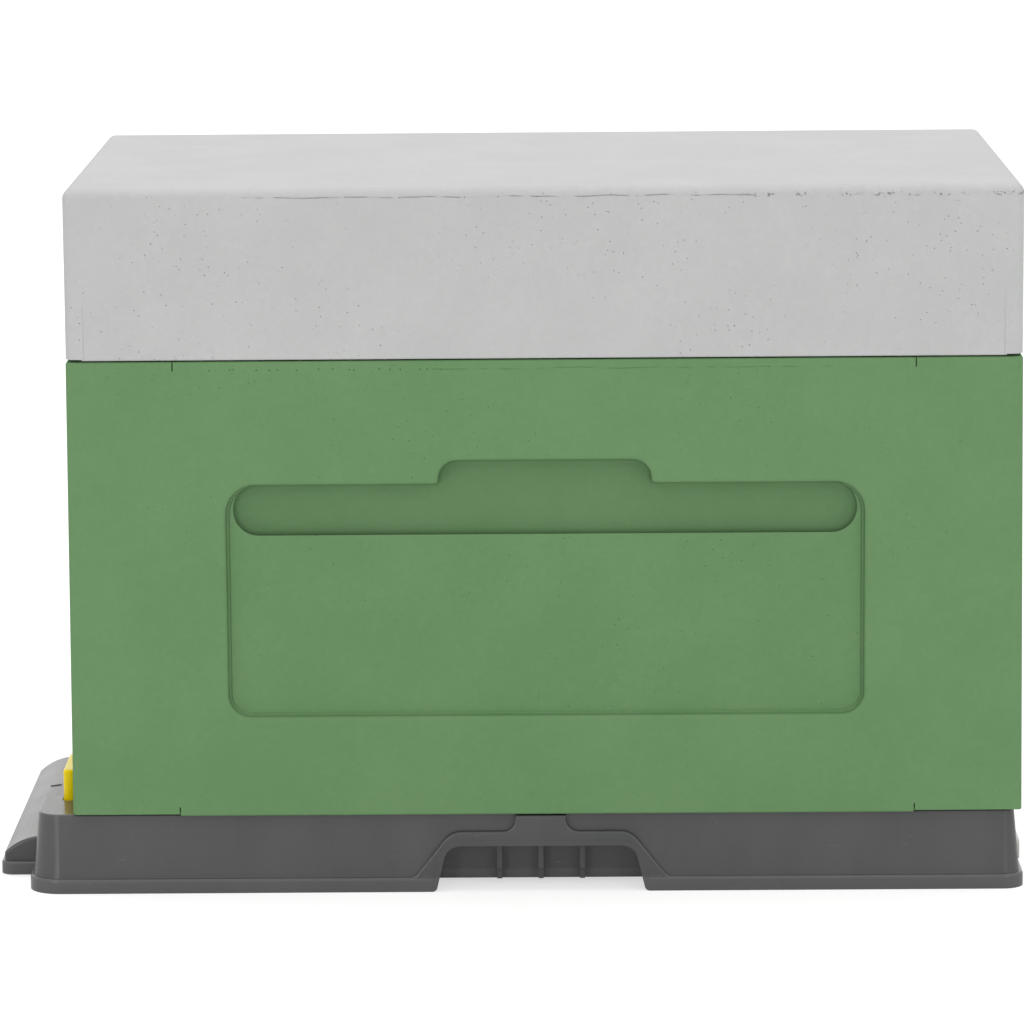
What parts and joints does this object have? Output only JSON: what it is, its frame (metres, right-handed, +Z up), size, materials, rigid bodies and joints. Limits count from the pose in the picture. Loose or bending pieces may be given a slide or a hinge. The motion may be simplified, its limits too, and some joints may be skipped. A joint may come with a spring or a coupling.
{
  "type": "nucleus beehive",
  "caption": "Foam nucleus beehive: lift-off roof over hanging wax frames in a hand-slotted body, on a moulded floor with landing board, drop-in entrance gate and slide-out tray.",
  "frame": {"origin": "on the ground under the middle of the hive's whole length and width, landing board included", "axes": "+Z up, X along the frames with the bee entrance at -X, Y across the frames"},
  "size_m": [0.5616, 0.3024, 0.385],
  "materials": {
    "green_foam": "moulded expanded polystyrene, painted green",
    "grey_foam": "moulded expanded polystyrene, bare pale grey",
    "floor_plastic": "satin injection-moulded polypropylene",
    "gate_plastic": "glossy moulded plastic",
    "mesh_plastic": "moulded plastic grille",
    "tray_plastic": "smooth plastic sheet",
    "clear_plastic": "clear polycarbonate sheet",
    "frame_wood": "planed bare pine",
    "wax": "embossed beeswax",
    "wire_steel": "tinned wire",
    "rail_steel": "galvanised sheet",
    "screw_steel": "zinc-plated"
  },
  "bodies": {
    "floor": {"floor_board": "floor_plastic", "floor_mesh": "mesh_plastic", "mesh_screws": "screw_steel"},
    "tray": {"inspection_tray": "tray_plastic"},
    "gate": {"entrance_gate": "gate_plastic"},
    "body": {"hive_body": "green_foam", "frame_rail_entrance": "rail_steel", "frame_rail_rear": "rail_steel", "rail_screws": "screw_steel"},
    "frame_1": {"frame_1_top_bar": "frame_wood", "frame_1_side_bar_entrance": "frame_wood", "frame_1_side_bar_rear": "frame_wood", "frame_1_bottom_bar": "frame_wood", "frame_1_wax_sheet": "wax", "frame_1_wires": "wire_steel"},
    "frame_2": {"frame_2_top_bar": "frame_wood", "frame_2_side_bar_entrance": "frame_wood", "frame_2_side_bar_rear": "frame_wood", "frame_2_bottom_bar": "frame_wood", "frame_2_wax_sheet": "wax", "frame_2_wires": "wire_steel"},
    "frame_3": {"frame_3_top_bar": "frame_wood", "frame_3_side_bar_entrance": "frame_wood", "frame_3_side_bar_rear": "frame_wood", "frame_3_bottom_bar": "frame_wood", "frame_3_wax_sheet": "wax", "frame_3_wires": "wire_steel"},
    "frame_4": {"frame_4_top_bar": "frame_wood", "frame_4_side_bar_entrance": "frame_wood", "frame_4_side_bar_rear": "frame_wood", "frame_4_bottom_bar": "frame_wood", "frame_4_wax_sheet": "wax", "frame_4_wires": "wire_steel"},
    "frame_5": {"frame_5_top_bar": "frame_wood", "frame_5_side_bar_entrance": "frame_wood", "frame_5_side_bar_rear": "frame_wood", "frame_5_bottom_bar": "frame_wood", "frame_5_wax_sheet": "wax", "frame_5_wires": "wire_steel"},
    "frame_6": {"frame_6_top_bar": "frame_wood", "frame_6_side_bar_entrance": "frame_wood", "frame_6_side_bar_rear": "frame_wood", "frame_6_bottom_bar": "frame_wood", "frame_6_wax_sheet": "wax", "frame_6_wires": "wire_steel"},
    "crown": {"crown_sheet": "clear_plastic"},
    "roof": {"roof": "grey_foam"}
  },
  "joints": [
    {"name": "tray_slide", "type": "slide", "parent": "floor", "child": "tray", "axis": [1, 0, 0], "range_m": [0, 0.45]},
    {"name": "gate_lift", "type": "slide", "parent": "floor", "child": "gate", "axis": [0, 0, 1], "range_m": [0, 0.045]},
    {"name": "body_lift", "type": "slide", "parent": "floor", "child": "body", "axis": [0, 0, 1], "range_m": [0, 0.3]},
    {"name": "frame_1_lift", "type": "slide", "parent": "body", "child": "frame_1", "axis": [0, 0, 1], "range_m": [0, 0.28]},
    {"name": "frame_2_lift", "type": "slide", "parent": "body", "child": "frame_2", "axis": [0, 0, 1], "range_m": [0, 0.28]},
    {"name": "frame_3_lift", "type": "slide", "parent": "body", "child": "frame_3", "axis": [0, 0, 1], "range_m": [0, 0.28]},
    {"name": "frame_4_lift", "type": "slide", "parent": "body", "child": "frame_4", "axis": [0, 0, 1], "range_m": [0, 0.28]},
    {"name": "frame_5_lift", "type": "slide", "parent": "body", "child": "frame_5", "axis": [0, 0, 1], "range_m": [0, 0.28]},
    {"name": "frame_6_lift", "type": "slide", "parent": "body", "child": "frame_6", "axis": [0, 0, 1], "range_m": [0, 0.28]},
    {"name": "crown_lift", "type": "slide", "parent": "frame_1", "child": "crown", "axis": [0, 0, 1], "range_m": [0, 0.2]},
    {"name": "roof_lift", "type": "slide", "parent": "crown", "child": "roof", "axis": [0, 0, 1], "range_m": [0, 0.3]}
  ],
  "couplings": [
    {"joint": "frame_2_lift", "follows": "frame_1_lift", "ratio": 1},
    {"joint": "frame_3_lift", "follows": "frame_1_lift", "ratio": 1},
    {"joint": "frame_4_lift", "follows": "frame_1_lift", "ratio": 1},
    {"joint": "frame_5_lift", "follows": "frame_1_lift", "ratio": 1},
    {"joint": "frame_6_lift", "follows": "frame_1_lift", "ratio": 1}
  ]
}
